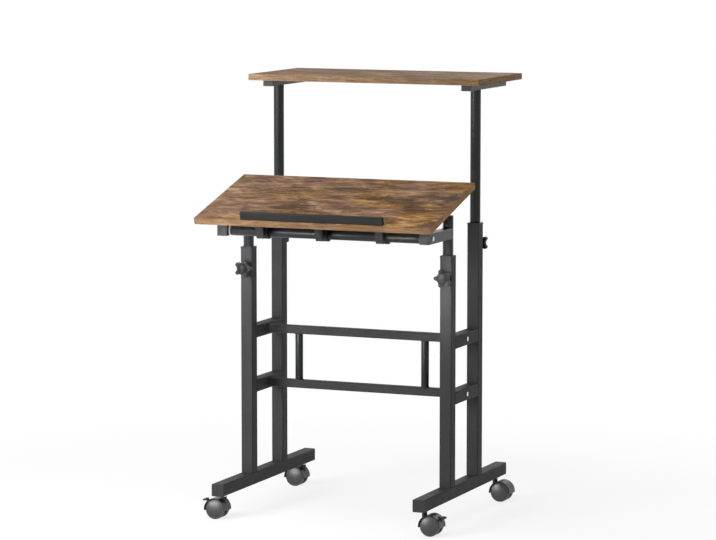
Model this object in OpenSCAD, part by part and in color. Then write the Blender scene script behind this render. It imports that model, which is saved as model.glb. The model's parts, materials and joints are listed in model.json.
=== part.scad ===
// Height-adjustable two-level standing desk on casters, with a front board that tilts.
// Millimetres, +X to the right, +Y to the back, +Z up.
// The origin is on the floor, midway between the two feet and midway along them.

/* [Boards] */
// Width of both boards, left to right
board_w = 600; // [560:5:900]
// Depth of the tilting board, front to back
board_d = 297; // [240:1:340]
// Depth of the upper shelf, front to back
shelf_d = 297; // [270:1:420]
// Thickness of both boards
board_t = 15; // [12:1:25]
// Radius of the boards' upright corners
board_corner = 2; // [0.5:0.5:20]
// Gap between the level board's rear edge and the shelf's front edge, seen from above
board_gap = 2; // [1:0.5:20]

/* [Tilting board] */
// Tilt of the board as it stands, in degrees
board_tilt = 15.8; // [0:0.1:60]
// Distance from the hinge axis up to the board's underside
board_rise = 42.5; // [32:0.5:60]
// How far the board's front edge lies ahead of the hinge axis
board_front = 77; // [50:1:120]
// Length of the stop bar along the board's front edge
stop_len = 360; // [200:5:500]
// Height of the stop bar above the board
stop_h = 18; // [14:1:30]
// Depth of the stop bar, front to back
stop_d = 10; // [7:0.5:20]
// Distance from the board's front edge back to the stop bar
stop_setback = 3; // [0:0.5:20]

/* [Hinge] */
// How far the hinge axis lies ahead of the front posts' middle
hinge_reach = 130; // [90:1:170]
// Height of the hinge axis above the floor, as it stands
hinge_z = 694.5; // [690:0.5:960]
// Length of the arms ahead of the hinge axis
arm_tip = 19; // [15:0.5:40]
// Side of the square arms
arm_side = 25; // [22:0.5:28]
// Thickness of the nylon washers between arms and hinge tube
washer_t = 3.5; // [1.5:0.5:6]
// Radius of the hinge bolts' shanks
hinge_bolt_r = 3; // [2.5:0.5:4]
// Width of each board clamp along the hinge tube
clamp_w = 19; // [16:1:30]
// Spacing between the board clamps
clamp_pitch = 152; // [100:1:180]
// Wall of the clamps round the hinge tube
clamp_wall = 4.5; // [3:0.5:7]
// How far the clamps' feet reach ahead of the hinge axis
clamp_reach = 38; // [36:1:48]

/* [Base frame] */
// Distance between the left and the right posts' middles
post_pitch_x = 516; // [500:2:540]
// Distance between the front and the rear posts' middles
post_pitch_y = 180; // [150:2:220]
// Side of the square tube of the feet, posts and side rails
tube = 30; // [30:0.5:36]
// Wall of the square and round tubes
tube_wall = 1.2; // [1:0.1:2]
// Radius of the square tube's outer edges
tube_edge = 2.5; // [1.5:0.5:4]
// Length of each foot
foot_len = 544; // [500:2:700]
// Height of the front posts' tops above the floor
front_top_z = 638; // [600:1:650]
// Height of the rear posts' tops above the floor
rear_top_z = 699; // [640:1:760]
// Height of the upper side rails' and crossbar's middle
upper_rail_z = 433; // [380:1:520]
// Height of the lower side rails' and crossbar's middle
lower_rail_z = 300; // [180:1:340]
// Side of the square crossbars
crossbar = 20; // [16:1:26]
// Distance between the two upright struts
strut_pitch = 330; // [200:2:420]
// Diameter of the struts
strut_dia = 19; // [10:1:20]

/* [Risers] */
// Diameter of the round telescoping tubes and of the hinge tube
riser_dia = 25; // [24:0.5:25]
// Length of the front risers
front_riser_len = 500; // [400:5:530]
// Length of the rear risers
rear_riser_len = 600; // [450:5:900]
// Height of the shelf's underside above the floor, as it stands
shelf_z = 1037; // [900:1:1200]
// Height of the bars under the shelf
shelf_bar_h = 15; // [12:1:25]
// Width of the bars under the shelf
shelf_bar_w = 25; // [25:1:40]
// Length of the bars under the shelf
shelf_bar_len = 236; // [200:2:250]
// Distance from the shelf's front edge back to the bars
shelf_bar_inset = 26; // [10:1:40]
// Thickness of the bushings' flanges on top of the posts
bushing_flange = 4; // [2:0.5:8]
// Depth of the bushings inside the posts
bushing_depth = 24; // [15:1:32]

/* [Knobs] */
// Radius of the star knobs, to the tips of their lobes
knob_r = 22; // [18:0.5:26]
// Thickness of the knobs' star
knob_t = 12; // [10:0.5:18]
// Number of lobes
knob_lobes = 5; // [4:1:7]
// Radius of each lobe's round end
lobe_r = 4.6; // [3.5:0.1:6]
// Depth of the scallops between the lobes
scallop_depth = 7.5; // [5:0.5:9]
// Distance from a post's top down to its knob
knob_drop = 47.5; // [45:0.5:70]
// Radius of the knobs' threaded studs
stud_r = 4; // [3:0.5:5]
// Length of the boss between a knob's star and its nut
knob_boss = 4; // [2:0.5:14]

/* [Casters] */
// Diameter of the wheels
wheel_dia = 48; // [40:1:54]
// Width of each wheel
wheel_w = 13; // [10:0.5:18]
// Crown of the wheels' outer faces
wheel_crown = 3; // [1.5:0.5:4]
// Height from the floor to the underside of the feet
caster_h = 60; // [58:0.5:80]
// Distance from a foot's end to its caster's stem
caster_inset = 36; // [25:1:60]
// Trail of the wheels behind the stem
caster_trail = 18; // [14:0.5:22]
// Radius of the caster stems' threads
stem_r = 5; // [4:0.5:6]
// Radius of the wheels' axles
axle_r = 3; // [2.5:0.5:4]
// Thickness of the hoods over the wheels
hood_t = 2; // [1.5:0.5:3]

/* [Clearances] */
// Radial clearance of a part that turns or slides in a bore
run_fit = 0.08; // [0.05:0.01:0.1]
// Clearance of a part that is fixed in another
seat_fit = 0.1; // [0.05:0.05:0.2]
// Gap between faces of parts that move past each other
face_gap = 0.3; // [0.2:0.05:0.5]
// Gap between a wheel and its hood
wheel_gap = 1; // [0.6:0.1:2]

/* [Hidden] */
$fn = 48;

// The places of the posts, the hinge and the shelf
post_x = post_pitch_x / 2;
post_y = post_pitch_y / 2;
foot_top_z = caster_h + tube;
inner = tube - 2 * tube_wall;
riser_r = riser_dia / 2;
riser_in = riser_r - tube_wall;
pad_t = 3;
hinge_y = -(post_y + hinge_reach);
arm_front_y = hinge_y - arm_tip;
riser_top_z = hinge_z + board_rise - face_gap - pad_t;
shelf_front_y = hinge_y + board_d - board_front + board_gap;
shelf_bar_z = shelf_z - shelf_bar_h;
clamp_r = riser_r + clamp_wall;

// Small fixed sizes of plugs, nuts and screws
plug_depth = 14;
plug_flange = 2.5;
plug_wall = 3;
guide_h = 10;
bushing_lip = 0.5;
pad_edge = 1;
arm_wall = 1.5;
arm_edge = 1.5;
arm_cope = 2;
end_plate = 10;
hinge_plug = 15;
hinge_bolt_bite = 12;
crossbar_bolt_r = 3;
socket_depth = 2;
screw_r = 2;
screw_head_r = 3.6;
screw_head_h = 2.2;
screw_bite = 10;
shelf_screw_step = 85;
stop_screw_inset = 30;
stop_screw_cover = 8;
stop_screw_step = stop_len / 2 - stop_screw_inset;
stop_screw_bite = stop_h - stop_screw_cover;
stop_edge = 2;
clamp_foot_t = 6;
clamp_skirt = 3;
clamp_skirt_drop = 3;
clamp_rib = 3;
clamp_screw_x = 5.5;
clamp_screw_s = 27;
nut_h = 6;
nut_r = 7.5;
stem_nut_h = 8;
stem_nut_r = 9.5;
stem_bite = 20;
stem_hex_h = 3.5;
stem_hex_r = 8;
knob_gap = 1;
knob_edge = 2.5;
knob_round_r = knob_r + 0.3;
knob_cap_h = 4;
knob_flat_r = 2;
knob_boss_r = 8;
stud_bite = 12;

// Star outline of the knobs, whose lobes' round ends run almost smoothly into the scallops
lobe_overlap = 0.2;
lobe_d = knob_r - lobe_r;
valley_r = knob_r - scallop_depth;
half_step = cos(180 / knob_lobes);
scallop_r = (pow(lobe_d, 2) + pow(valley_r, 2) - pow(lobe_r, 2) - 2 * lobe_d * valley_r * half_step)
    / (2 * (lobe_r - valley_r + lobe_d * half_step));
scallop_d = valley_r + scallop_r - lobe_overlap;
knob_cap_r = valley_r - 1;

// Casters; the hoods' and levers' places are measured from each wheel pair's axle
wheel_r = wheel_dia / 2;
pivot_r = 4;
pivot_low_z = wheel_r + 6;
neck_wall = 2.3;
neck_r = pivot_r + neck_wall;
web_w = 2 * neck_r - 2 * face_gap;
wheel_inner = neck_r + 0.5;
axle_boss = 5;
collar_h = 2;
caster_w = 2 * (wheel_inner + wheel_w);
hood_in = wheel_r + wheel_gap;
hood_out = hood_in + hood_t;
neck_top_z = caster_h - stem_hex_h - collar_h;
hood_low = -3;
lever_turn = 39.5;
lever_reach = 0.881 * wheel_r;
lever_x = lever_reach * cos(lever_turn);
lever_z = lever_reach * sin(lever_turn);
lever_hub_r = 4.5;
lever_w = 7;
lever_pin_r = 1.5;
lever_arm_t = 4.8;
paddle_w = 15;
paddle_near = [11.2, 7];
paddle_near_r = 2.6;
paddle_far = [16.4, 6.4];
paddle_far_r = 2.3;
lever_rise = atan2(paddle_near[1], paddle_near[0]);
slot_swing = 19;
slot_room = 1;
slot_low = 5.8;
slot_high = 7.7;
tread_edge = 2;
tread_t = 4;
hub_r = 6;
disc_t = 3;
seam = 0.4;
axle_end = 0.5;

// Crowned face of a wheel and the round shoulder that joins it to the tread
crown_r = (pow(wheel_r, 2) + pow(wheel_crown, 2)) / (2 * wheel_crown);
shoulder_d = wheel_r - tread_edge;
shoulder_z = sqrt(pow(crown_r - tread_edge, 2) - pow(shoulder_d, 2)) - crown_r;
crown_edge = shoulder_d * crown_r / (crown_r - tread_edge);

// Radius of a tube's inner corners
function inner_edge(edge, wall) = max(edge - wall, 0.3);

// Outline of a square or flat tube with rounded edges
module round_rect(w, d, r) {
    square([w, d - 2 * r], center = true);
    square([w - 2 * r, d], center = true);
    for (x = [-1, 1], y = [-1, 1])
        translate([x * (w / 2 - r), y * (d / 2 - r)]) circle(r = r);
}

// Square or flat tube standing along +Z
module box_tube(w, d, len, wall = tube_wall, edge = tube_edge) {
    linear_extrude(len) difference() {
        round_rect(w, d, edge);
        round_rect(w - 2 * wall, d - 2 * wall, inner_edge(edge, wall));
    }
}

// Plug that closes the end of a square or flat tube, flange outwards along +Z
module end_cap(w, d, wall = tube_wall, edge = tube_edge) {
    linear_extrude(plug_flange) round_rect(w, d, edge);
    translate([0, 0, -plug_depth]) linear_extrude(plug_depth)
        difference() {
            round_rect(w - 2 * wall - 2 * seat_fit, d - 2 * wall - 2 * seat_fit, inner_edge(edge, wall));
            square([w - 2 * (wall + plug_wall), d - 2 * (wall + plug_wall)], center = true);
        }
}

// Turns a piece that stands along +Z so that it runs along +Y
module along_y() {
    rotate([-90, 0, 0]) children();
}

// Turns a piece that stands along +Z so that it runs along +X
module along_x() {
    rotate([0, 90, 0]) children();
}

// Side view (front-to-back, up) drawn flat and extruded along X, centred
module side_profile(w) {
    rotate([90, 0, 90]) translate([0, 0, -w / 2]) linear_extrude(w) children();
}

// Button head with a hex socket for a shank of radius r, outwards along +Z, seat at the origin
module button_head(r) {
    head_r = 1.8 * r;
    head_h = 1.1 * r;
    difference() {
        intersection() {
            cylinder(r = head_r, h = head_h);
            translate([0, 0, head_h - 2 * head_r]) sphere(r = 2 * head_r);
        }
        translate([0, 0, head_h - socket_depth]) cylinder(r = 0.75 * r, h = socket_depth + 1, $fn = 6);
    }
}

// Pan-head wood screw pointing up +Z, underside of the head at the origin
module wood_screw(len, r = screw_r) {
    cylinder(r = r, h = len - 2 * r);
    translate([0, 0, len - 2 * r]) cylinder(r1 = r, r2 = 0.3, h = 2 * r);
    difference() {
        translate([0, 0, -screw_head_h])
            cylinder(r1 = screw_head_r - 0.8, r2 = screw_head_r, h = screw_head_h);
        for (a = [0, 90]) rotate(a)
            translate([-2, -0.45, -screw_head_h - 1]) cube([4, 0.9, 2.2]);
    }
}

// Base frame

module foot(side) {
    color("#26272a") translate([side * post_x, 0, caster_h + tube / 2]) difference() {
        translate([0, -foot_len / 2, 0]) along_y() box_tube(tube, tube, foot_len);
        for (end = [-1, 1])
            translate([0, end * (foot_len / 2 - caster_inset), -tube / 2 - 1])
                cylinder(r = stem_r + seat_fit, h = tube_wall + 2);
    }
}

module foot_end_caps() {
    color("#1b1c1e") for (side = [-1, 1], end = [-1, 1])
        translate([side * post_x, end * foot_len / 2, caster_h + tube / 2])
            rotate([-90 * end, 0, 0]) end_cap(tube, tube);
}

// Post on its foot, drilled for the clamping knob's stud on its outer face
module post(side, end, top_z) {
    color("#2b2c2f") translate([side * post_x, end * post_y, 0]) difference() {
        translate([0, 0, foot_top_z]) box_tube(tube, tube, top_z - foot_top_z);
        translate([0, end * (tube / 2 - tube_wall / 2), top_z - knob_drop]) along_y()
            cylinder(r = stud_r + seat_fit, h = tube_wall + 1, center = true);
    }
}

// Two short tubes between the posts of one side, cross-drilled for the crossbars' bolts
module side_rails(side) {
    rail_len = post_pitch_y - tube;
    color("#26272a") for (z = [upper_rail_z, lower_rail_z])
        translate([side * post_x, 0, z]) difference() {
            translate([0, -rail_len / 2, 0]) along_y() box_tube(tube, tube, rail_len);
            along_x() cylinder(r = crossbar_bolt_r + seat_fit, h = tube + 2, center = true);
        }
}

// Crossbar between the side rails, with a welded threaded plate in each end
module crossbar_tube(z) {
    len = post_pitch_x - tube;
    plate_side = crossbar - 2 * tube_wall + 0.2;
    translate([0, 0, z]) difference() {
        union() {
            translate([-len / 2, 0, 0]) along_x() box_tube(crossbar, crossbar, len);
            for (side = [-1, 1])
                translate([side * (len - end_plate) / 2, 0, 0])
                    cube([end_plate, plate_side, plate_side], center = true);
        }
        for (side = [-1, 1])
            translate([side * (len - end_plate) / 2, 0, 0]) along_x()
                cylinder(r = crossbar_bolt_r + seat_fit / 2, h = end_plate + 2, center = true);
    }
}

module upper_crossbar() {
    color("#26272a") crossbar_tube(upper_rail_z);
}

module lower_crossbar() {
    color("#26272a") crossbar_tube(lower_rail_z);
}

module crossbar_struts() {
    low = lower_rail_z + crossbar / 2;
    high = upper_rail_z - crossbar / 2;
    color("#26272a") for (side = [-1, 1])
        translate([side * strut_pitch / 2, 0, low]) difference() {
            cylinder(d = strut_dia, h = high - low);
            translate([0, 0, -1]) cylinder(d = strut_dia - 2 * tube_wall, h = high - low + 2);
        }
}

module crossbar_bolts() {
    color("#c9cacc") for (side = [-1, 1], z = [upper_rail_z, lower_rail_z])
        translate([side * (post_x + tube / 2), 0, z]) rotate([0, side * 90, 0]) {
            button_head(crossbar_bolt_r);
            translate([0, 0, -tube - end_plate]) cylinder(r = crossbar_bolt_r, h = tube + end_plate + 0.5);
        }
}

// Flanged guide in the top of a post, bored for the riser
module post_bushing(x, y, top_z) {
    sleeve = inner - 2 * seat_fit;
    lip = tube + 2 * bushing_lip;
    translate([x, y, top_z]) difference() {
        union() {
            linear_extrude(bushing_flange) round_rect(lip, lip, tube_edge + bushing_lip);
            translate([0, 0, -bushing_depth]) linear_extrude(bushing_depth + 0.5)
                round_rect(sleeve, sleeve, inner_edge(tube_edge, tube_wall));
        }
        translate([0, 0, -bushing_depth - 1])
            cylinder(r = riser_r + run_fit, h = bushing_depth + bushing_flange + 2);
    }
}

module post_bushings() {
    color("#17181a") for (side = [-1, 1]) {
        post_bushing(side * post_x, -post_y, front_top_z);
        post_bushing(side * post_x, post_y, rear_top_z);
    }
}

// Knobs: places are given by the side, the end and the post's top

// Moves a piece to a knob's place, with +Z pointing away from the post's face
module at_knob(side, end) {
    top_z = end < 0 ? front_top_z : rear_top_z;
    translate([side * post_x, end * (post_y + tube / 2), top_z - knob_drop])
        rotate([-90 * end, 0, 0]) children();
}

module knob_nuts() {
    color("#26272a") for (side = [-1, 1], end = [-1, 1]) at_knob(side, end) difference() {
        cylinder(r = nut_r, h = nut_h, $fn = 6);
        translate([0, 0, -1]) cylinder(r = stud_r + run_fit, h = nut_h + 2);
    }
}

// Star outline: round lobe ends joined by scallops
module star() {
    step = 360 / knob_lobes;
    corner = [for (i = [0 : 2 * knob_lobes - 1]) let(d = i % 2 == 0 ? lobe_d : scallop_d, a = i * step / 2)
        [d * cos(a), d * sin(a)]];
    difference() {
        polygon(corner);
        for (i = [0 : knob_lobes - 1]) rotate((i + 0.5) * step)
            translate([scallop_d, 0]) circle(r = scallop_r);
    }
    for (i = [0 : knob_lobes - 1]) rotate(i * step)
        translate([lobe_d, 0]) circle(r = lobe_r);
}

// Star knob with its boss, domed hub and blind bore for the stud
module knob(side, end) {
    turn = side < 0 ? 0 : 180;
    base = nut_h + knob_gap;
    dome_r = (pow(knob_cap_r, 2) + pow(knob_cap_h, 2)) / (2 * knob_cap_h);
    color("#232426") at_knob(side, end) translate([0, 0, base]) difference() {
        union() {
            cylinder(r1 = knob_boss_r, r2 = knob_boss_r + 2, h = knob_boss);
            translate([0, 0, knob_boss]) intersection() {
                rotate(turn) linear_extrude(knob_t) star();
                rotate_extrude() {
                    square([knob_round_r - knob_edge, knob_t]);
                    translate([0, knob_edge]) square([knob_round_r, knob_t - 2 * knob_edge]);
                    for (z = [knob_edge, knob_t - knob_edge])
                        translate([knob_round_r - knob_edge, z]) circle(r = knob_edge);
                }
            }
            translate([0, 0, knob_boss + knob_t - 1]) rotate_extrude() {
                intersection() {
                    square([knob_cap_r, knob_cap_h + 1]);
                    translate([0, knob_cap_h + 1 - dome_r]) circle(r = dome_r, $fn = 360);
                }
                square([knob_flat_r, knob_cap_h + 1]);
            }
        }
        translate([0, 0, -1]) cylinder(r = stud_r + run_fit, h = 1 + stud_bite + face_gap);
    }
}

// Threaded stud from the knob through nut and post wall to the riser
module stud(side, end) {
    tip = tube / 2 - riser_r - face_gap;
    color("#b9babd") at_knob(side, end)
        translate([0, 0, -tip]) cylinder(r = stud_r, h = tip + nut_h + knob_gap + stud_bite);
}

// Casters: places are given by the side and the end of the foot

// Moves a piece to a caster's stem on the floor, with the trail along +X
module at_caster(side, end) {
    translate([side * post_x, end * (foot_len / 2 - caster_inset), 0])
        rotate([0, 0, side < 0 ? 180 : 0]) children();
}

module caster_nuts() {
    color("#8f9194") for (side = [-1, 1], end = [-1, 1]) at_caster(side, end)
        translate([0, 0, caster_h + tube_wall]) difference() {
            cylinder(r = stem_nut_r, h = stem_nut_h, $fn = 6);
            translate([0, 0, -1]) cylinder(r = stem_r + seat_fit, h = stem_nut_h + 2);
        }
}

// Stem with its swivel pin, hex collar and thread
module caster_stems() {
    color("#a9abae") for (side = [-1, 1], end = [-1, 1]) at_caster(side, end) {
        translate([0, 0, pivot_low_z]) cylinder(r = pivot_r, h = neck_top_z + collar_h - pivot_low_z);
        translate([0, 0, neck_top_z + face_gap]) cylinder(r = stem_hex_r - 1, h = collar_h - face_gap);
        translate([0, 0, caster_h - stem_hex_h]) cylinder(r = stem_hex_r, h = stem_hex_h, $fn = 6);
        translate([0, 0, caster_h - 0.5]) cylinder(r = stem_r, h = stem_bite + 0.5);
    }
}

// Side view of a caster, centred on the axle, drawn in the X-Z plane and extruded along Y
module caster_slice(w) {
    translate([caster_trail, 0, wheel_r]) rotate([90, 0, 0])
        translate([0, 0, -w / 2]) linear_extrude(w) children();
}

// Area under a hood's lower edge
module below_hood() {
    translate([-2 * hood_out, hood_low - 2 * hood_out]) square([4 * hood_out, 2 * hood_out]);
}

// Hood over both wheels with its web, axle boss and swivel neck; braked ones have the lever's slot
module hood(side, end) {
    color("#17181a") at_caster(side, end) difference() {
        union() {
            caster_slice(caster_w) difference() {
                circle(r = hood_out);
                circle(r = hood_in);
                below_hood();
            }
            caster_slice(web_w) {
                difference() {
                    circle(r = hood_in + 0.5);
                    below_hood();
                }
                circle(r = axle_r + axle_boss);
            }
            translate([0, 0, wheel_r]) cylinder(r = neck_r, h = neck_top_z - wheel_r);
        }
        caster_slice(web_w + 2) circle(r = axle_r + run_fit);
        translate([0, 0, pivot_low_z - 1]) cylinder(r = pivot_r + run_fit, h = caster_h);
        if (end < 0) {
            caster_slice(lever_w + 2 * face_gap) {
                translate([lever_x, lever_z]) circle(r = lever_hub_r + slot_room);
                translate([lever_x, lever_z]) rotate(slot_swing)
                    translate([0, -slot_low]) square([2 * wheel_r, slot_low + slot_high]);
            }
            caster_slice(web_w + 2) translate([lever_x, lever_z]) circle(r = lever_pin_r + run_fit);
        }
    }
}

// One wheel along +Z, inner face at the origin: crowned disc, tread with round shoulders and hub
module wheel() {
    rotate_extrude() difference() {
        union() {
            intersection() {
                square([crown_edge, wheel_w]);
                translate([0, wheel_w - crown_r]) circle(r = crown_r, $fn = 360);
            }
            translate([hub_r, 0]) square([wheel_r - tread_edge - hub_r, wheel_w + shoulder_z]);
            translate([hub_r, tread_edge]) square([wheel_r - hub_r, wheel_w + shoulder_z - tread_edge]);
            for (z = [tread_edge, wheel_w + shoulder_z])
                translate([shoulder_d, z]) circle(r = tread_edge);
        }
        translate([hub_r, -1]) square([wheel_r - 2 * tread_t - hub_r, wheel_w - disc_t - 1]);
        translate([-1, -1]) square([1 + axle_r + seat_fit / 2, wheel_w - disc_t + 1]);
        translate([wheel_r - tread_t, wheel_w - wheel_crown]) square([seam, wheel_crown]);
    }
}

// Two wheels and the axle that they are pressed on
module wheel_pair(side, end) {
    axle_len = 2 * (wheel_inner + wheel_w - disc_t - axle_end);
    color("#3a3b3d") at_caster(side, end) translate([caster_trail, 0, wheel_r]) {
        for (face = [-1, 1])
            translate([0, face * wheel_inner, 0]) rotate([-90 * face, 0, 0]) wheel();
        along_y() cylinder(r = axle_r, h = axle_len, center = true);
    }
}

// Brake lever: hub with trunnions in the hood's slot, arm and wide paddle
module brake_lever(side) {
    color("#151618") at_caster(side, -1) {
        caster_slice(lever_w) translate([lever_x, lever_z]) {
            circle(r = lever_hub_r);
            rotate(lever_rise) translate([0, -lever_arm_t / 2]) square([norm(paddle_near), lever_arm_t]);
        }
        caster_slice(web_w - 2 * face_gap) translate([lever_x, lever_z]) circle(r = lever_pin_r);
        caster_slice(paddle_w) translate([lever_x, lever_z]) {
            translate(paddle_near) circle(r = paddle_near_r);
            translate(paddle_far) circle(r = paddle_far_r);
            polygon([
                paddle_near + [0, paddle_near_r], paddle_far + [0, paddle_far_r],
                paddle_far - [0, paddle_far_r], paddle_near - [0, paddle_near_r]
            ]);
        }
    }
}

// Desk risers: round tubes with an arm welded to the front of each, all at hinge_z

module desk_riser(side) {
    arm_len = hinge_reach + arm_tip - arm_cope;
    low_z = riser_top_z - front_riser_len;
    color("#2b2c2f") translate([side * post_x, 0, 0]) difference() {
        union() {
            translate([0, arm_front_y, hinge_z]) along_y() difference() {
                linear_extrude(arm_len) round_rect(arm_side, arm_side, arm_edge);
                translate([0, 0, -1]) linear_extrude(arm_len + 2)
                    square(arm_side - 2 * arm_wall, center = true);
            }
            translate([0, -post_y, low_z]) cylinder(r = riser_r, h = front_riser_len);
        }
        translate([0, -post_y, low_z - 1]) cylinder(r = riser_in, h = front_riser_len + 2);
        translate([0, hinge_y, hinge_z]) along_x()
            cylinder(r = hinge_bolt_r + run_fit, h = arm_side + 2, center = true);
    }
}

module arm_end_caps() {
    color("#1b1c1e") for (side = [-1, 1])
        translate([side * post_x, arm_front_y, hinge_z]) rotate([90, 0, 0])
            end_cap(arm_side, arm_side, arm_wall, arm_edge);
}

// Plugs on the risers' tops that the level board rests on
module riser_rest_pads() {
    color("#17181a") for (side = [-1, 1]) translate([side * post_x, -post_y, riser_top_z]) {
        translate([0, 0, -plug_depth]) cylinder(r = riser_in - seat_fit, h = plug_depth + 0.5);
        rotate_extrude() {
            square([riser_r - pad_edge, pad_t]);
            square([riser_r, pad_t - pad_edge]);
            translate([riser_r - pad_edge, pad_t - pad_edge]) circle(r = pad_edge);
        }
    }
}

// Glides that close the bottom of a riser and guide it in its post
module riser_guide(x, y, bottom_z) {
    translate([x, y, bottom_z]) {
        translate([0, 0, -guide_h]) cylinder(r = inner / 2 - face_gap, h = guide_h);
        cylinder(r = riser_in - seat_fit, h = plug_depth);
    }
}

module desk_riser_guides() {
    color("#17181a") for (side = [-1, 1])
        riser_guide(side * post_x, -post_y, riser_top_z - front_riser_len);
}

module hinge_washers() {
    x = post_x - arm_side / 2 - face_gap / 2 - washer_t / 2;
    color("#e8e8e4") for (side = [-1, 1]) translate([side * x, hinge_y, hinge_z]) along_x() difference() {
        cylinder(r = riser_r, h = washer_t, center = true);
        cylinder(r = hinge_bolt_r + seat_fit, h = washer_t + 2, center = true);
    }
}

// Tilting board: its pieces are drawn level about the hinge axis and turned by board_tilt

module on_board() {
    translate([0, hinge_y, hinge_z]) rotate([board_tilt, 0, 0]) children();
}

module desk_board() {
    color("#8a5a3a") on_board() difference() {
        translate([0, board_d / 2 - board_front, board_rise]) linear_extrude(board_t)
            round_rect(board_w, board_d, board_corner);
        clamp_screw_places() cylinder(r = screw_r + seat_fit, h = screw_bite + 0.5);
        stop_screw_places() {
            translate([0, 0, -1]) cylinder(r = screw_r + seat_fit, h = board_t + 2);
            translate([0, 0, -1]) cylinder(r = screw_head_r + seat_fit, h = 1 + screw_head_h + 1);
        }
    }
}

// Three screws from below into the stop bar
module stop_screw_places() {
    for (i = [-1 : 1])
        translate([i * stop_screw_step, stop_setback + stop_d / 2 - board_front, board_rise]) children();
}

// Two screws a clamp, one before and one behind the hinge tube, on opposite sides of its rib
module clamp_screw_places() {
    for (i = [-1 : 1], end = [-1, 1])
        translate([i * clamp_pitch - end * clamp_screw_x, end * clamp_screw_s, board_rise]) children();
}

module stop_bar() {
    color("#1b1c1e") on_board()
        translate([0, stop_setback + stop_d / 2 - board_front, board_rise + board_t]) difference() {
            side_profile(stop_len) {
                translate([-stop_d / 2, 0]) square([stop_d, stop_h - stop_edge]);
                translate([stop_edge - stop_d / 2, 0]) square([stop_d - 2 * stop_edge, stop_h]);
                for (y = [-1, 1])
                    translate([y * (stop_d / 2 - stop_edge), stop_h - stop_edge]) circle(r = stop_edge);
            }
            for (i = [-1 : 1]) translate([i * stop_screw_step, 0, -1])
                cylinder(r = screw_r + seat_fit, h = stop_screw_bite + 1.5);
        }
}

module stop_bar_screws() {
    color("#8f9194") on_board() stop_screw_places()
        translate([0, 0, screw_head_h + 1]) wood_screw(board_t - screw_head_h - 1 + stop_screw_bite);
}

// Round tube between the arms, with a threaded plug welded in each end
module hinge_tube() {
    len = post_pitch_x - arm_side - 2 * (washer_t + face_gap);
    color("#2b2c2f") on_board() difference() {
        along_x() cylinder(r = riser_r, h = len, center = true);
        along_x() cylinder(r = riser_in, h = len - 2 * hinge_plug, center = true);
        along_x() cylinder(r = hinge_bolt_r + seat_fit / 2, h = len + 2, center = true);
    }
}

module hinge_bolts() {
    seat_x = post_x + arm_side / 2 + face_gap;
    shank = face_gap + arm_side + washer_t + face_gap + hinge_bolt_bite;
    color("#c9cacc") on_board() for (side = [-1, 1])
        translate([side * seat_x, 0, 0]) rotate([0, side * 90, 0]) {
            button_head(hinge_bolt_r);
            translate([0, 0, -shank]) cylinder(r = hinge_bolt_r, h = shank + 0.5);
        }
}

// Side view of a clamp: foot under the board, skirt in front, column and ring round the hinge tube
module clamp_outline() {
    square_top = board_rise - clamp_foot_t;
    translate([-clamp_reach, square_top]) square([2 * clamp_reach, clamp_foot_t]);
    translate([-clamp_reach, -clamp_skirt_drop])
        square([clamp_skirt, square_top + clamp_skirt_drop + 0.5]);
    circle(r = clamp_r);
    translate([-clamp_r + 3, 0]) square([2 * clamp_r - 6, square_top + 0.5]);
}

module board_clamp(place) {
    square_top = board_rise - clamp_foot_t;
    color("#17181a") on_board() translate([place * clamp_pitch, 0, 0]) difference() {
        union() {
            side_profile(clamp_w) clamp_outline();
            side_profile(clamp_rib) {
                polygon([[-clamp_reach + 1, -clamp_skirt_drop], [-clamp_r + 1, -clamp_skirt_drop],
                         [-clamp_r + 4, square_top + 0.5], [-clamp_reach + 1, square_top + 0.5]]);
                polygon([[clamp_r - 1, 0], [clamp_reach - 2, square_top + 0.5],
                         [clamp_r - 4, square_top + 0.5]]);
            }
        }
        along_x() cylinder(r = riser_r + seat_fit, h = clamp_w + 2, center = true);
        for (end = [-1, 1]) translate([-end * clamp_screw_x, end * clamp_screw_s, square_top - 1])
            cylinder(r = screw_r + seat_fit, h = clamp_foot_t + 2);
    }
}

module clamp_screws() {
    color("#8f9194") on_board() clamp_screw_places()
        translate([0, 0, -clamp_foot_t]) wood_screw(clamp_foot_t + screw_bite);
}

// Upper shelf on its two risers

module upper_shelf() {
    color("#8a5a3a") difference() {
        translate([0, shelf_front_y + shelf_d / 2, shelf_z]) linear_extrude(board_t)
            round_rect(board_w, shelf_d, board_corner);
        shelf_screw_places() cylinder(r = screw_r + seat_fit, h = screw_bite + 0.5);
    }
}

// Two screws a bar, from below through the bar into the shelf
module shelf_screw_places() {
    mid = shelf_front_y + shelf_bar_inset + shelf_bar_len / 2;
    for (side = [-1, 1], i = [-1, 1])
        translate([side * post_x, mid + i * shelf_screw_step, shelf_z]) children();
}

// Round tube with the flat bar welded across its top
module shelf_riser(side) {
    bar_front = shelf_front_y + shelf_bar_inset;
    color("#2b2c2f") translate([side * post_x, 0, 0]) difference() {
        union() {
            translate([0, bar_front, shelf_bar_z + shelf_bar_h / 2]) along_y()
                box_tube(shelf_bar_w, shelf_bar_h, shelf_bar_len, arm_wall, arm_edge);
            translate([0, post_y, shelf_bar_z - rear_riser_len]) difference() {
                cylinder(r = riser_r, h = rear_riser_len + 0.3);
                translate([0, 0, -1]) cylinder(r = riser_in, h = rear_riser_len + 1);
            }
        }
        for (i = [-1, 1])
            translate([0, bar_front + shelf_bar_len / 2 + i * shelf_screw_step, shelf_bar_z - 1])
                cylinder(r = screw_r + seat_fit, h = shelf_bar_h + 2);
    }
}

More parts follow.
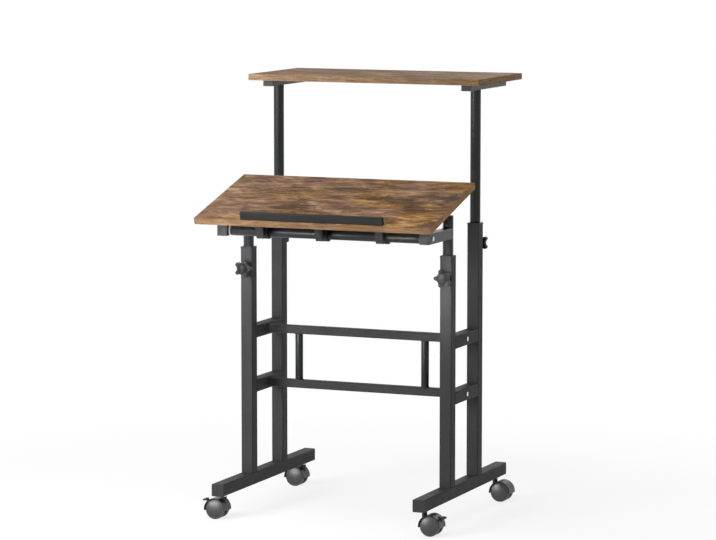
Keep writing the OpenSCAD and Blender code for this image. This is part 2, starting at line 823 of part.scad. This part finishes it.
module shelf_bar_caps() {
    bar_front = shelf_front_y + shelf_bar_inset;
    color("#1b1c1e") for (side = [-1, 1]) {
        translate([side * post_x, bar_front, shelf_bar_z + shelf_bar_h / 2]) rotate([90, 0, 0])
            end_cap(shelf_bar_w, shelf_bar_h, arm_wall, arm_edge);
        translate([side * post_x, bar_front + shelf_bar_len, shelf_bar_z + shelf_bar_h / 2])
            rotate([-90, 0, 0]) end_cap(shelf_bar_w, shelf_bar_h, arm_wall, arm_edge);
    }
}

module shelf_screws() {
    color("#8f9194") shelf_screw_places()
        translate([0, 0, -shelf_bar_h]) wood_screw(shelf_bar_h + screw_bite);
}

module shelf_riser_guides() {
    color("#17181a") for (side = [-1, 1])
        riser_guide(side * post_x, post_y, shelf_bar_z - rear_riser_len);
}

foot(-1);  // left_foot
foot(1);  // right_foot
post(-1, -1, front_top_z);  // front_left_post
post(1, -1, front_top_z);  // front_right_post
post(-1, 1, rear_top_z);  // rear_left_post
post(1, 1, rear_top_z);  // rear_right_post
side_rails(-1);  // left_side_rails
side_rails(1);  // right_side_rails
upper_crossbar();
lower_crossbar();
crossbar_struts();
crossbar_bolts();
foot_end_caps();
post_bushings();
knob_nuts();
caster_nuts();
caster_stems();
desk_riser(-1);  // left_desk_riser
desk_riser(1);  // right_desk_riser
arm_end_caps();
riser_rest_pads();
desk_riser_guides();
hinge_washers();
desk_board();
stop_bar();
stop_bar_screws();
hinge_tube();
hinge_bolts();
board_clamp(-1);  // left_board_clamp
board_clamp(0);  // middle_board_clamp
board_clamp(1);  // right_board_clamp
clamp_screws();
upper_shelf();
shelf_riser(-1);  // left_shelf_riser
shelf_riser(1);  // right_shelf_riser
shelf_bar_caps();
shelf_screws();
shelf_riser_guides();
knob(-1, -1);  // front_left_knob
knob(1, -1);  // front_right_knob
knob(-1, 1);  // rear_left_knob
knob(1, 1);  // rear_right_knob
stud(-1, -1);  // front_left_stud
stud(1, -1);  // front_right_stud
stud(-1, 1);  // rear_left_stud
stud(1, 1);  // rear_right_stud
hood(-1, -1);  // front_left_hood
hood(1, -1);  // front_right_hood
hood(-1, 1);  // rear_left_hood
hood(1, 1);  // rear_right_hood
wheel_pair(-1, -1);  // front_left_wheels
wheel_pair(1, -1);  // front_right_wheels
wheel_pair(-1, 1);  // rear_left_wheels
wheel_pair(1, 1);  // rear_right_wheels
brake_lever(-1);  // left_brake_lever
brake_lever(1);  // right_brake_lever
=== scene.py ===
import json
import math

import bpy
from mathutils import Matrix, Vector


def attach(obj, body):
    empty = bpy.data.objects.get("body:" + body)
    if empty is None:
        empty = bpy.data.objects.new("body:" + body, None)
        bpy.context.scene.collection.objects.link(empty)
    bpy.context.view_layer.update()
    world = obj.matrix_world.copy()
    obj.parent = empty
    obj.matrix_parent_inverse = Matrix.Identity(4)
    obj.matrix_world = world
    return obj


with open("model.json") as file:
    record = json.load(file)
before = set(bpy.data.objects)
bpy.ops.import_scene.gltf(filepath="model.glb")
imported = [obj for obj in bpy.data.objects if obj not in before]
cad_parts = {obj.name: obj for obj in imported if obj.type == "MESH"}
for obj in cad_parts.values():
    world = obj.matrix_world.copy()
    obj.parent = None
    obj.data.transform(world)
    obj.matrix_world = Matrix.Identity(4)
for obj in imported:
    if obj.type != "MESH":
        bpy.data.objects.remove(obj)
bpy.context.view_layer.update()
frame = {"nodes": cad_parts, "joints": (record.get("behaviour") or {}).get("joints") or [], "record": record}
NODES = frame["nodes"]
JOINTS = {j["name"]: j for j in frame["joints"]}

# The board's tilt at rest in degrees, from the record
BOARD_TILT = -JOINTS["board_tilt"]["range_deg"][0]

# Places that the welds follow, in metres, from the part's source
POST_X, POST_Y, TUBE = 0.258, 0.090, 0.030
FOOT_TOP = 0.090
RAIL_HEIGHTS = (0.433, 0.300)
CROSSBAR = 0.020
STRUT_X, STRUT_R = 0.165, 0.0095
RISER_R = 0.0125
ARM_Z, ARM_HALF = 0.6945, 0.0125
KNOB_HEIGHTS = {-1: 0.5905, 1: 0.6515}
NUT_R = 0.0075

# The wheels' middles, as distance from the object's middle and height, and where their treads begin
WHEEL_PLACE = (0.276, 0.024)
TREAD_FROM, TREAD_BLEND = 0.0200, 0.0004

# Edge finish of the CAD nodes: width of the rounding, its segments, from which angle an edge is
# sharp, and how near each other points are one point
WOOD_EDGE, METAL_EDGE = 0.0008, 0.0004
EDGE_SEGMENTS, SHARP_DEG = 2, 35
MERGE_REACH = 0.00001

# Weld beads: the length of one drop, the step of the sweep, and the sides of the section
DROP, BEAD_STEP, BEAD_SIDES = 0.0022, 0.0005, 8
# How far the beads' middles stand off the faces, above and below the rails, and off the risers
STAND_OFF, RAIL_STAND_OFF, RISER_STAND_OFF = 0.0002, 0.0001, 0.0003
# How far they keep from the square tubes' corners, and the degrees they cover round a riser
CORNER_GAP, RISER_ARC = 0.0035, (205, 335)

# Camera, from a fit to the photograph's straight edges
CAMERA_PLACE = (3.0164, -7.2091, 1.5041)
CAMERA_TURN = (83.30, 0.0, 22.77)
CAMERA_LENS, SENSOR = 164.03, 36.0
CLIP_END = 60.0

# Lamps: place, target, width, height, watts and spread of the beam in degrees
WIDE, NARROW = 180, 10
LAMPS = {
    "key": ((-0.9, -1.6, 1.00), (0, 0, 0.70), 0.7, 0.7, 33, WIDE),
    "low": ((-1.05, -1.85, 0.19), (0, -0.2, 0.05), 0.9, 0.34, 11, WIDE),
    "top": ((-0.3, -0.9, 3.0), (0, 0, 0.8), 1.8, 0.7, 32, WIDE),
    "left_post": ((-POST_X, -2.4, 0.60), (-POST_X, 0, 0.58), 0.12, 0.06, 0.19, NARROW),
    "right_post": ((POST_X, -2.4, 0.60), (POST_X, 0, 0.58), 0.12, 0.06, 0.26, NARROW),
    "back": ((0.2, 2.2, 2.0), (0, 0, 0.6), 1.2, 1.0, 22, WIDE),
}
# Strength of the world as light on the object, and where it is seen
WORLD_LIGHT, WHITE = 0.26, 1.0

# Floor: its reach, number of sides and grey, how white it is near the object, where it keeps the
# shadow, and from which distance to which it turns all white
FLOOR_REACH, FLOOR_SIDES = 9.0, 64
FLOOR_GREY = (0.9, 0.9, 0.9, 1.0)
NEAR_WHITE, NEAR_END, FAR_START = 0.80, 0.55, 1.5

# Wood: the figure's colours, from dark to light
FIGURE = ((0.39, (0.105, 0.057, 0.029)), (0.46, (0.195, 0.110, 0.054)),
          (0.54, (0.310, 0.181, 0.090)), (0.62, (0.520, 0.316, 0.158)))
# The figure's grain: across, scale, detail, roughness and distortion, as Shader.grain takes them
FIGURE_GRAIN = (2.7, 9.0, 10.0, 0.77, 0.4)
# Patches laid over the figure: their colour and strength, the values of their grain between which
# they set in, how fast it grows along X, and the grain
WOOD_PATCHES = {
    "mauve": ((0.135, 0.082, 0.058), 0.55, 0.53, 0.62, 0.0, (2.4, 12.0, 8.0, 0.74, 0.5)),
    "tan streaks": ((0.480, 0.290, 0.135), 0.65, 0.52, 0.60, 0.0, (9.0, 8.0, 8.0, 0.76)),
    "dark streaks": ((0.090, 0.046, 0.023), 0.65, 0.53, 0.61, 0.0, (5.0, 8.0, 8.0, 0.77)),
    "smoke": ((0.064, 0.045, 0.034), 0.80, 0.550, 0.605, 0.16, (1.9, 6.0, 10.0, 0.79, 0.6)),
}
# Tints that multiply the wood, and how fast the pinkish one gives way to the golden along X
PINKISH, GOLDEN, GREYER = (1.00, 1.04, 1.38), (1.10, 0.95, 0.58), (0.86, 0.98, 1.16)
GOLDEN_LEAN = 0.24
# Fine lines of the grain, and how strong they are
LINES = ((0.40, (0.46, 0.40, 0.34)), (0.53, (1.0, 1.0, 1.0)))
LINES_ON_WOOD, LINES_ON_BAND = 0.85, 0.7
# Edge bands: their plain tan, how much it covers the wood, and from where to where along X the
# painted shade darkens them towards the right
BAND_TAN, BAND_PLAIN = (0.430, 0.253, 0.136), 0.65
PAINTED_FADE_START, PAINTED_FADE_END = -0.30, 0.25


# Material helpers

def is_plain(value):
    return isinstance(value, (int, float))


class Shader:
    """A material's node tree, with short calls for the nodes that the finishes use."""

    def __init__(self, name, shine=0.5, metallic=0.0):
        self.material = bpy.data.materials.new(name)
        self.material.use_nodes = True
        self.tree = self.material.node_tree
        self.surface = self.tree.nodes["Principled BSDF"]
        self.surface.inputs["Specular IOR Level"].default_value = shine
        self.surface.inputs["Metallic"].default_value = metallic

    def link(self, source, target):
        self.tree.links.new(source, target)

    def node(self, kind, **values):
        made = self.tree.nodes.new(kind)
        for name, value in values.items():
            setattr(made, name, value)
        return made

    def fill(self, node, **values):
        """Sets a node's inputs; an underscore stands for a space."""
        for name, value in values.items():
            node.inputs[name.replace("_", " ")].default_value = value

    def place(self, turn=(0, 0, 0), shift=(0, 0, 0)):
        """The object's own coordinates, shifted and then turned (degrees)."""
        source = self.node("ShaderNodeTexCoord").outputs["Object"]
        for kind, value in (("Location", shift), ("Rotation", [math.radians(a) for a in turn])):
            step = self.node("ShaderNodeMapping")
            step.inputs[kind].default_value = value
            self.link(source, step.inputs["Vector"])
            source = step.outputs["Vector"]
        return source

    def split(self, vector):
        parts = self.node("ShaderNodeSeparateXYZ")
        self.link(vector, parts.inputs[0])
        return parts.outputs

    def noise(self, vector, scale, detail=3.0, rough=0.5, distortion=0.0):
        made = self.node("ShaderNodeTexNoise")
        self.fill(made, Scale=scale, Detail=detail, Roughness=rough, Distortion=distortion)
        self.link(vector, made.inputs["Vector"])
        return made.outputs["Fac"]

    def grain(self, vector, across, scale, detail, rough=0.5, distortion=0.0):
        """Noise drawn out along X, so many times finer across."""
        finer = self.node("ShaderNodeVectorMath", operation="MULTIPLY")
        finer.inputs[1].default_value = (1.0, across, across)
        self.link(vector, finer.inputs[0])
        return self.noise(finer.outputs[0], scale, detail, rough, distortion)

    def warp(self, vector, scale, amount):
        """The coordinates pushed about by a slow noise, so that straight streaks wander."""
        push = self.node("ShaderNodeTexNoise")
        self.fill(push, Scale=scale, Detail=2.0)
        self.link(vector, push.inputs["Vector"])
        centred = self.node("ShaderNodeVectorMath", operation="SUBTRACT")
        centred.inputs[1].default_value = (0.5, 0.5, 0.5)
        self.link(push.outputs["Color"], centred.inputs[0])
        moved = self.node("ShaderNodeVectorMath", operation="MULTIPLY_ADD")
        moved.inputs[1].default_value = (amount, amount, amount)
        self.link(centred.outputs[0], moved.inputs[0])
        self.link(vector, moved.inputs[2])
        return moved.outputs[0]

    def facing(self, turn=(0, 0, 0)):
        """The surface's own direction as sizes along X, Y and Z, in the turned frame."""
        source = self.node("ShaderNodeTexCoord").outputs["Normal"]
        step = self.node("ShaderNodeMapping", vector_type="NORMAL")
        step.inputs["Rotation"].default_value = [math.radians(a) for a in turn]
        self.link(source, step.inputs["Vector"])
        size = self.node("ShaderNodeVectorMath", operation="ABSOLUTE")
        self.link(step.outputs["Vector"], size.inputs[0])
        return self.split(size.outputs[0])

    def math(self, operation, first, second=0.0):
        made = self.node("ShaderNodeMath", operation=operation)
        for socket, value in zip(made.inputs, (first, second)):
            if is_plain(value):
                socket.default_value = value
            else:
                self.link(value, socket)
        return made.outputs[0]

    def ramp(self, factor, *stops):
        made = self.node("ShaderNodeValToRGB")
        while len(made.color_ramp.elements) < len(stops):
            made.color_ramp.elements.new(1.0)
        for element, (place, color) in zip(made.color_ramp.elements, stops):
            element.position = place
            element.color = (*color, 1.0)
        self.link(factor, made.inputs["Fac"])
        return made.outputs["Color"]

    def mottle(self, factor, low, high):
        """A colour that varies a little with a noise."""
        return self.ramp(factor, (0.3, low), (0.7, high))

    def spread(self, factor, low, high, start=0.3, end=0.7):
        made = self.node("ShaderNodeMapRange")
        self.fill(made, From_Min=start, From_Max=end, To_Min=low, To_Max=high)
        self.link(factor, made.inputs["Value"])
        return made.outputs["Result"]

    def mix(self, factor, first, second, blend="MIX"):
        made = self.node("ShaderNodeMix", data_type="RGBA", blend_type=blend)
        if is_plain(factor):
            made.inputs["Factor"].default_value = factor
        else:
            self.link(factor, made.inputs["Factor"])
        for name, value in (("A", first), ("B", second)):
            socket = [s for s in made.inputs if s.name == name and s.type == "RGBA"][0]
            if isinstance(value, tuple):
                socket.default_value = (*value, 1.0)
            else:
                self.link(value, socket)
        return [s for s in made.outputs if s.type == "RGBA"][0]

    def bump(self, height, distance, strength=1.0):
        """Adds relief on top of the relief that the surface already has."""
        made = self.node("ShaderNodeBump")
        self.fill(made, Strength=strength, Distance=distance)
        self.link(height, made.inputs["Height"])
        if self.surface.inputs["Normal"].links:
            self.link(self.surface.inputs["Normal"].links[0].from_socket, made.inputs["Normal"])
        self.link(made.outputs["Normal"], self.surface.inputs["Normal"])

    def base(self, color):
        self.link(color, self.surface.inputs["Base Color"])

    def rough(self, value):
        self.link(value, self.surface.inputs["Roughness"])


# Materials

def powder_coat(name, low, high, rough, shine):
    """Black powder coat: fine orange peel over slow waves, with slightly uneven gloss."""
    m = Shader(name, shine)
    at = m.place()
    m.base(m.mottle(m.noise(at, 9.0, 4.0), low, high))
    m.rough(m.spread(m.noise(at, 40.0), rough - 0.05, rough + 0.05))
    m.bump(m.noise(at, 60.0, 2.0), 0.0002, 0.15)
    m.bump(m.noise(at, 1400.0, 2.0), 0.00006, 0.5)
    return m.material


def along_the_band(m, flat, on_end):
    """The grain's coordinates: along X on faces and front band, along Y on the ends' bands."""
    parts = m.split(flat)
    crossed = m.node("ShaderNodeCombineXYZ")
    for target, source in (("X", "Y"), ("Y", "Z"), ("Z", "X")):
        m.link(parts[source], crossed.inputs[target])
    choice = m.node("ShaderNodeMix", data_type="VECTOR")
    m.link(on_end, choice.inputs["Factor"])
    sockets = [i for i in choice.inputs if i.type == "VECTOR" and i.name in ("A", "B")]
    m.link(flat, sockets[0])
    m.link(crossed.outputs[0], sockets[1])
    return [o for o in choice.outputs if o.type == "VECTOR"][0]


def rustic_wood(name, turn, shift, grey, shades):
    """Rustic brown foil on board: wandering figure, smoky patches, tan streaks, fine grain along X.

    The edge bands are plainer and have grain along Y at both ends. Light and shade are painted on the
    bands: painted shade darkens the front band towards the right and painted light lifts the right
    end's band. The four shades are of the front band's left and right, of the right end's band and of
    the faces, whose factor below one is painted shade.
    """
    m = Shader(name, shine=0.04)
    facing = m.facing(turn)
    on_end = m.spread(facing["X"], 0.0, 1.0, 0.6, 0.8)
    on_face = m.spread(facing["Z"], 0.0, 1.0, 0.5, 0.85)
    flat = m.place(turn, shift)
    at = m.warp(along_the_band(m, flat, on_end), 7.0, 0.018)
    x = m.math("SUBTRACT", m.split(flat)["X"], shift[0])

    figure = m.grain(at, *FIGURE_GRAIN)
    wood = m.ramp(figure, *FIGURE)
    golden = m.math("ADD", m.grain(flat, 2.0, 6.0, 3.0), m.math("MULTIPLY", x, GOLDEN_LEAN))
    wood = m.mix(m.spread(golden, 0.9, 0.0, 0.43, 0.58), wood, PINKISH, "MULTIPLY")
    wood = m.mix(m.spread(golden, 0.0, 0.9, 0.50, 0.66), wood, GOLDEN, "MULTIPLY")
    for color, amount, start, end, lean, grain in WOOD_PATCHES.values():
        shape = m.math("ADD", m.grain(at, *grain), m.math("MULTIPLY", x, lean))
        wood = m.mix(m.spread(shape, 0.0, amount, start, end), wood, color)
    lines = m.ramp(m.grain(at, 22.0, 16.0, 5.0, 0.7), *LINES)
    wood = m.mix(LINES_ON_WOOD, wood, lines, "MULTIPLY")

    band = m.mix(BAND_PLAIN, wood, m.mix(LINES_ON_BAND, BAND_TAN, lines, "MULTIPLY"))
    # Painted shade along the front band, darker to the right, and painted light on the right end's band
    painted_fade_to_left = m.spread(x, 1.0, 0.0, PAINTED_FADE_START, PAINTED_FADE_END)
    left, right, right_end, face = ((v, v, v) for v in shades)
    shade = m.mix(on_end, m.mix(painted_fade_to_left, right, left), m.mix(painted_fade_to_left, right_end, left))
    band = m.mix(1.0, band, shade, "MULTIPLY")
    # The faces' factor, painted shade where it is below one
    wood = m.mix(on_face, band, m.mix(1.0, wood, face, "MULTIPLY"))
    m.base(m.mix(grey, wood, GREYER, "MULTIPLY"))
    m.rough(m.spread(figure, 0.54, 0.68))
    m.bump(m.grain(at, 26.0, 24.0, 4.0), 0.00012, 0.35)
    return m.material


def moulded_plastic(name, low, high, rough, shine=0.5):
    """Moulded plastic with a fine spark-eroded texture."""
    m = Shader(name, shine)
    at = m.place()
    m.base(m.mottle(m.noise(at, 25.0), low, high))
    m.rough(m.spread(m.noise(at, 60.0, 2.0), rough - 0.05, rough + 0.05))
    m.bump(m.noise(at, 900.0, 2.0), 0.00004, 0.4)
    return m.material


def zinc_plate(name, low, high, rough):
    """Zinc-plated steel with faint tumbling marks."""
    m = Shader(name, metallic=1.0)
    at = m.place()
    m.base(m.mottle(m.noise(at, 180.0), low, high))
    m.rough(m.spread(m.noise(at, 320.0), rough - 0.06, rough + 0.08))
    m.bump(m.noise(at, 1500.0, 2.0), 0.00003, 0.3)
    return m.material


def caster_nylon():
    """Glossy black wheel discs with a duller, greyer tread round them."""
    m = Shader("caster_wheel_nylon", shine=0.75)
    at = m.place()
    parts = m.split(at)
    along = m.math("SUBTRACT", m.math("ABSOLUTE", parts["X"]), WHEEL_PLACE[0])
    up = m.math("SUBTRACT", parts["Z"], WHEEL_PLACE[1])
    reach = m.math("SQRT", m.math("ADD", m.math("POWER", along, 2.0), m.math("POWER", up, 2.0)))
    on_tread = m.spread(reach, 0.0, 1.0, TREAD_FROM, TREAD_FROM + TREAD_BLEND)
    disc = m.mottle(m.noise(at, 45.0), (0.009, 0.009, 0.010), (0.013, 0.013, 0.014))
    tread = m.mottle(m.noise(at, 90.0, 4.0), (0.018, 0.018, 0.019), (0.030, 0.030, 0.031))
    m.base(m.mix(on_tread, disc, tread))
    duller = m.math("MULTIPLY", on_tread, 0.20)
    m.rough(m.math("ADD", m.spread(m.noise(at, 120.0), 0.28, 0.34), duller))
    m.bump(m.noise(at, 900.0, 2.0), 0.00003, 0.25)
    return m.material


# Each slot of the record: the colours between which it varies, its roughness and its shine
MATERIALS = {
    "black_steel": powder_coat(
        "black_powder_coat", (0.033, 0.033, 0.034), (0.042, 0.042, 0.044), 0.54, 0.07),
    "black_plastic": moulded_plastic(
        "black_plastic", (0.012, 0.012, 0.013), (0.018, 0.018, 0.019), 0.50, 0.25),
    "knob_plastic": moulded_plastic(
        "knob_plastic", (0.006, 0.006, 0.006), (0.010, 0.010, 0.010), 0.46, 0.20),
    "caster_hood": moulded_plastic(
        "caster_hood", (0.013, 0.013, 0.014), (0.019, 0.019, 0.020), 0.30, 0.28),
    "caster_wheel": caster_nylon(),
    "zinc_bright": zinc_plate("zinc_bright", (0.60, 0.61, 0.63), (0.72, 0.73, 0.75), 0.28),
    "zinc_dull": zinc_plate("zinc_dull", (0.42, 0.43, 0.45), (0.54, 0.55, 0.57), 0.40),
    "white_nylon": moulded_plastic("white_nylon", (0.78, 0.78, 0.75), (0.84, 0.84, 0.82), 0.40),
}
# The boards' own wood: the board's turn, where its pattern is taken from, its greyness, and its
# painted light and shade: the front band's left and right, the right end's band and the faces
# (the shelf's faces are darkened as painted shade)
WOODEN = {
    "desk_board": rustic_wood("desk_board_wood", (-BOARD_TILT, 0, 0), (2.37, 0.61, 0.0), 0.2,
                              (0.68, 0.50, 1.25, 1.0)),
    "upper_shelf": rustic_wood("upper_shelf_wood", (0, 0, 0), (1.73, 0.52, 0.3), 0.6,
                               (0.82, 0.52, 1.1, 0.84)),
}
SMOOTH_COAT = powder_coat(
    "smooth_black_coat", (0.012, 0.013, 0.014), (0.018, 0.019, 0.021), 0.30, 0.22)
# The stop bar's darker copy of the black powder coat: painted shade, since its tilted front catches more
# lamp light than the rest of the frame
SHADED_STOP_COAT = powder_coat(
    "stop_bar_shaded_coat", (0.013, 0.013, 0.013), (0.018, 0.018, 0.017), 0.50, 0.12)
ROUND_TUBES = ("left_desk_riser", "right_desk_riser", "left_shelf_riser", "right_shelf_riser",
               "hinge_tube", "crossbar_struts")
OWN_MATERIALS = {**WOODEN, "stop_bar": SHADED_STOP_COAT, **{name: SMOOTH_COAT for name in ROUND_TUBES}}


def dress_nodes():
    """Gives every CAD node its slot's material, or its own, and finely rounded edges."""
    slots = {p["node"]: p["material_slot"] for p in frame["record"]["subparts"]}
    for name, obj in NODES.items():
        material = OWN_MATERIALS.get(name) or MATERIALS[slots[name]]
        obj.data.materials.clear()
        obj.data.materials.append(material)
        soften(obj, WOOD_EDGE if name in WOODEN else METAL_EDGE)
        if name.endswith(("_wheels", "_hood")):
            obj.modifiers.new("even_shading", "WEIGHTED_NORMAL")


def soften(obj, width):
    """Rounds the sharp edges of a CAD node with modifiers, its mesh left as it is."""
    weld = obj.modifiers.new("weld", "WELD")
    weld.merge_threshold = MERGE_REACH
    bevel = obj.modifiers.new("edges", "BEVEL")
    bevel.width = width
    bevel.segments = EDGE_SEGMENTS
    bevel.limit_method = "ANGLE"
    bevel.angle_limit = math.radians(SHARP_DEG)
    bevel.harden_normals = True


# Welds

def line(start, end):
    """Points on a straight line, one bead step apart."""
    start, end = Vector(start), Vector(end)
    count = max(4, round((end - start).length / BEAD_STEP))
    return [start.lerp(end, i / count) for i in range(count + 1)]


def arc(middle, radius, first, last, across, up):
    """Points on an arc about a middle; degrees are counted from across towards up."""
    middle, across, up = Vector(middle), Vector(across), Vector(up)
    turn = math.radians(last - first)
    count = max(8, round(abs(turn) * radius / BEAD_STEP))
    angles = [math.radians(first) + turn * i / count for i in range(count + 1)]
    return [middle + radius * (math.cos(a) * across + math.sin(a) * up) for a in angles]


def bead(points, radius, verts, faces):
    """Adds one bead: a round section swept along the points, rippled like overlapping drops."""
    first, length = len(verts), 0.0
    for i, point in enumerate(points):
        ahead = points[min(i + 1, len(points) - 1)] - points[max(i - 1, 0)]
        tangent = ahead.normalized()
        side = tangent.orthogonal().normalized()
        other = tangent.cross(side)
        if i:
            length += (point - points[i - 1]).length
        # The drops, a slight unevenness along the bead, and thin ends
        ripple = 0.86 + 0.14 * math.sqrt(abs(math.sin(math.pi * length / DROP)))
        ripple *= 1.0 + 0.05 * math.sin(length * 1900.0 + first)
        end = min(i, len(points) - 1 - i)
        taper = min(1.0, 0.35 + 0.22 * end)
        for k in range(BEAD_SIDES):
            a = 2 * math.pi * k / BEAD_SIDES
            outward = math.cos(a) * side + math.sin(a) * other
            verts.append(point + radius * ripple * taper * outward)
    for i in range(len(points) - 1):
        for k in range(BEAD_SIDES):
            a = first + i * BEAD_SIDES + k
            b = first + i * BEAD_SIDES + (k + 1) % BEAD_SIDES
            faces.append((a, b, b + BEAD_SIDES, a + BEAD_SIDES))
    last = len(verts) - BEAD_SIDES
    faces.append(tuple(range(first + BEAD_SIDES - 1, first - 1, -1)))
    faces.append(tuple(range(last, last + BEAD_SIDES)))


def put(name, verts, faces, material):
    """A new object from a mesh and its material."""
    mesh = bpy.data.meshes.new(name)
    mesh.from_pydata([tuple(v) for v in verts], [], faces)
    obj = bpy.data.objects.new(name, mesh)
    bpy.context.scene.collection.objects.link(obj)
    mesh.materials.append(material)
    return obj


def welds(name, body, radius, paths):
    """One piece that holds the beads of a kind of joint, riding on the body that they join."""
    verts, faces = [], []
    for points in paths:
        bead(points, radius, verts, faces)
    obj = put(name, verts, faces, MATERIALS["black_steel"])
    obj.data.shade_smooth()
    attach(obj, body)


def weld_the_frame():
    """Beads where feet, posts, rails, struts and knob nuts join, and on top of the risers' arms."""
    across, back, up = (1, 0, 0), (0, 1, 0), (0, 0, 1)
    half, run = TUBE / 2, TUBE / 2 - CORNER_GAP
    sides = (-1, 1)

    def crosswise(x, y, z):
        return line((x - run, y, z), (x + run, y, z))

    off, posts = half + STAND_OFF, [(x * POST_X, y * POST_Y) for x in sides for y in sides]
    welds("post_foot_welds", "base_frame", 0.0016, [
        crosswise(x, y + f * off, FOOT_TOP + STAND_OFF) for x, y in posts for f in sides])
    inner = POST_Y - off
    welds("rail_post_welds", "base_frame", 0.0014, [
        crosswise(x * POST_X, y * inner, z + e * (half + RAIL_STAND_OFF))
        for x in sides for y in sides for z in RAIL_HEIGHTS for e in sides])
    strut_ends = [(RAIL_HEIGHTS[0] - CROSSBAR / 2, -1), (RAIL_HEIGHTS[1] + CROSSBAR / 2, 1)]
    welds("strut_welds", "base_frame", 0.0012, [
        arc((x * STRUT_X, 0, z + e * STAND_OFF), STRUT_R + STAND_OFF, 0, 360, across, back)
        for x in sides for z, e in strut_ends])
    welds("knob_nut_welds", "base_frame", 0.0008, [
        arc((x * POST_X, y * (POST_Y + off), KNOB_HEIGHTS[y]), NUT_R, 0, 360, across, up)
        for x in sides for y in sides])
    arm_top = ARM_Z + ARM_HALF + STAND_OFF
    welds("riser_arm_welds", "desk_lift", 0.0012, [
        arc((x * POST_X, -POST_Y, arm_top), RISER_R + RISER_STAND_OFF, *RISER_ARC, across, back)
        for x in sides])


# Stage

def floor():
    """Pale round floor: white to the camera, and it keeps a soft shadow."""
    angles = [2 * math.pi * i / FLOOR_SIDES for i in range(FLOOR_SIDES)]
    rim = [(FLOOR_REACH * math.cos(a), FLOOR_REACH * math.sin(a), 0.0) for a in angles]
    obj = put("studio_floor", rim, [tuple(range(FLOOR_SIDES))], white_stage())


def sees_background(tree):
    """1 for rays that show the background, from the camera, in gloss or glass, and 0 for light."""
    path = tree.nodes.new("ShaderNodeLightPath")
    seen = path.outputs["Is Camera Ray"]
    for name in ("Is Glossy Ray", "Is Transmission Ray"):
        either = tree.nodes.new("ShaderNodeMath")
        either.operation = "MAXIMUM"
        tree.links.new(seen, either.inputs[0])
        tree.links.new(path.outputs[name], either.inputs[1])
        seen = either.outputs[0]
    return seen


def white_stage():
    """A grey floor in the light, which looks white from afar and nearly white by the object."""
    material = bpy.data.materials.new("white_stage")
    material.use_nodes = True
    tree = material.node_tree
    tree.nodes.clear()
    place = tree.nodes.new("ShaderNodeTexCoord")
    reach = tree.nodes.new("ShaderNodeVectorMath")
    reach.operation = "LENGTH"
    tree.links.new(place.outputs["Object"], reach.inputs[0])
    plain = tree.nodes.new("ShaderNodeMapRange")
    for name, value in (("From Min", NEAR_END), ("From Max", FAR_START),
                        ("To Min", NEAR_WHITE), ("To Max", WHITE)):
        plain.inputs[name].default_value = value
    tree.links.new(reach.outputs["Value"], plain.inputs["Value"])
    share = tree.nodes.new("ShaderNodeMath")
    share.operation = "MULTIPLY"
    tree.links.new(sees_background(tree), share.inputs[0])
    tree.links.new(plain.outputs["Result"], share.inputs[1])
    diffuse = tree.nodes.new("ShaderNodeBsdfDiffuse")
    diffuse.inputs["Color"].default_value = FLOOR_GREY
    white = tree.nodes.new("ShaderNodeEmission")
    mix = tree.nodes.new("ShaderNodeMixShader")
    out = tree.nodes.new("ShaderNodeOutputMaterial")
    tree.links.new(share.outputs[0], mix.inputs["Fac"])
    tree.links.new(diffuse.outputs[0], mix.inputs[1])
    tree.links.new(white.outputs[0], mix.inputs[2])
    tree.links.new(mix.outputs[0], out.inputs["Surface"])
    return material


def lamp(name, place, target, width, height, watts, spread):
    """A soft box at a place, facing a target."""
    data = bpy.data.lights.new(name, "AREA")
    data.shape = "RECTANGLE"
    data.size, data.size_y = width, height
    data.energy = watts
    data.spread = math.radians(spread)
    obj = bpy.data.objects.new(name, data)
    bpy.context.scene.collection.objects.link(obj)
    obj.location = place
    obj.rotation_euler = (Vector(target) - Vector(place)).to_track_quat("-Z", "Y").to_euler()


def light_the_scene():
    """A world that looks white and gives a weak light, and the lamps."""
    world = bpy.data.worlds.new("studio")
    bpy.context.scene.world = world
    world.use_nodes = True
    tree = world.node_tree
    background = tree.nodes["Background"]
    background.inputs["Color"].default_value = (1.0, 1.0, 1.0, 1.0)
    strength = tree.nodes.new("ShaderNodeMapRange")
    strength.inputs["To Min"].default_value = WORLD_LIGHT
    strength.inputs["To Max"].default_value = WHITE
    tree.links.new(sees_background(tree), strength.inputs["Value"])
    tree.links.new(strength.outputs["Result"], background.inputs["Strength"])
    for name, values in LAMPS.items():
        lamp(name, *values)


def place_camera():
    data = bpy.data.cameras.new("camera")
    data.lens = CAMERA_LENS
    data.sensor_width = SENSOR
    data.clip_end = CLIP_END
    camera = bpy.data.objects.new("camera", data)
    bpy.context.scene.collection.objects.link(camera)
    camera.location = CAMERA_PLACE
    camera.rotation_euler = [math.radians(a) for a in CAMERA_TURN]
    bpy.context.scene.camera = camera


dress_nodes()
weld_the_frame()
floor()
light_the_scene()
place_camera()
bpy.context.scene.view_settings.view_transform = "Standard"
